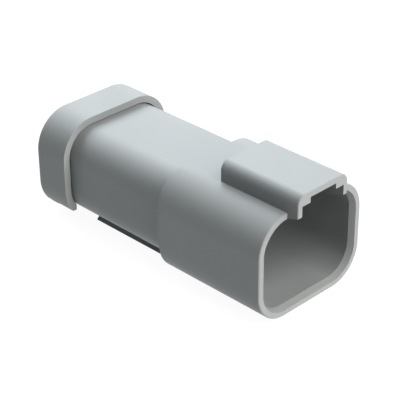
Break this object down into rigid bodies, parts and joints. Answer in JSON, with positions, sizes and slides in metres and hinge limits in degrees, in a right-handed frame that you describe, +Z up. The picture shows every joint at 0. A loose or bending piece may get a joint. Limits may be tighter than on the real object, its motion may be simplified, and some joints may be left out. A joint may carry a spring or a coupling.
{
  "type": "sealed automotive connector receptacle",
  "caption": "Grey sealed pin receptacle with a rounded-rectangle shroud, a stepped latch hood, a rear seal retainer and clip rails underneath.",
  "frame": {"origin": "under the middle of the whole connector, on the surface that it lies on", "axes": "+X out of the mating mouth, +Z up through the latch hood, +Y across the connector"},
  "size_m": [0.047, 0.0204, 0.0191],
  "materials": {
    "housing_plastic": "satin moulded thermoplastic",
    "retainer_plastic": "satin moulded thermoplastic",
    "seal_silicone": "moulded silicone rubber",
    "lock_plastic": "satin moulded thermoplastic",
    "contact_plating": "nickel-plated copper alloy, turned",
    "plug_plastic": "natural moulded thermoplastic",
    "resistor_coating": "dipped coating",
    "tinned_wire": "tinned copper wire"
  },
  "bodies": {
    "receptacle": {"housing": "housing_plastic", "seal_retainer": "retainer_plastic", "wire_seal": "seal_silicone", "resistor_body": "resistor_coating", "resistor_lead_1": "tinned_wire", "resistor_lead_2": "tinned_wire", "pin_contact_1": "contact_plating", "sealing_plug_1": "plug_plastic", "pin_contact_2": "contact_plating", "sealing_plug_2": "plug_plastic", "pin_contact_3": "contact_plating", "sealing_plug_3": "plug_plastic", "pin_contact_4": "contact_plating", "sealing_plug_4": "plug_plastic"},
    "lock": {"wedge_lock": "lock_plastic"}
  },
  "joints": [
    {"name": "wedge_pull", "type": "slide", "parent": "receptacle", "child": "lock", "axis": [1, 0, 0], "range_m": [0, 0.031]}
  ]
}
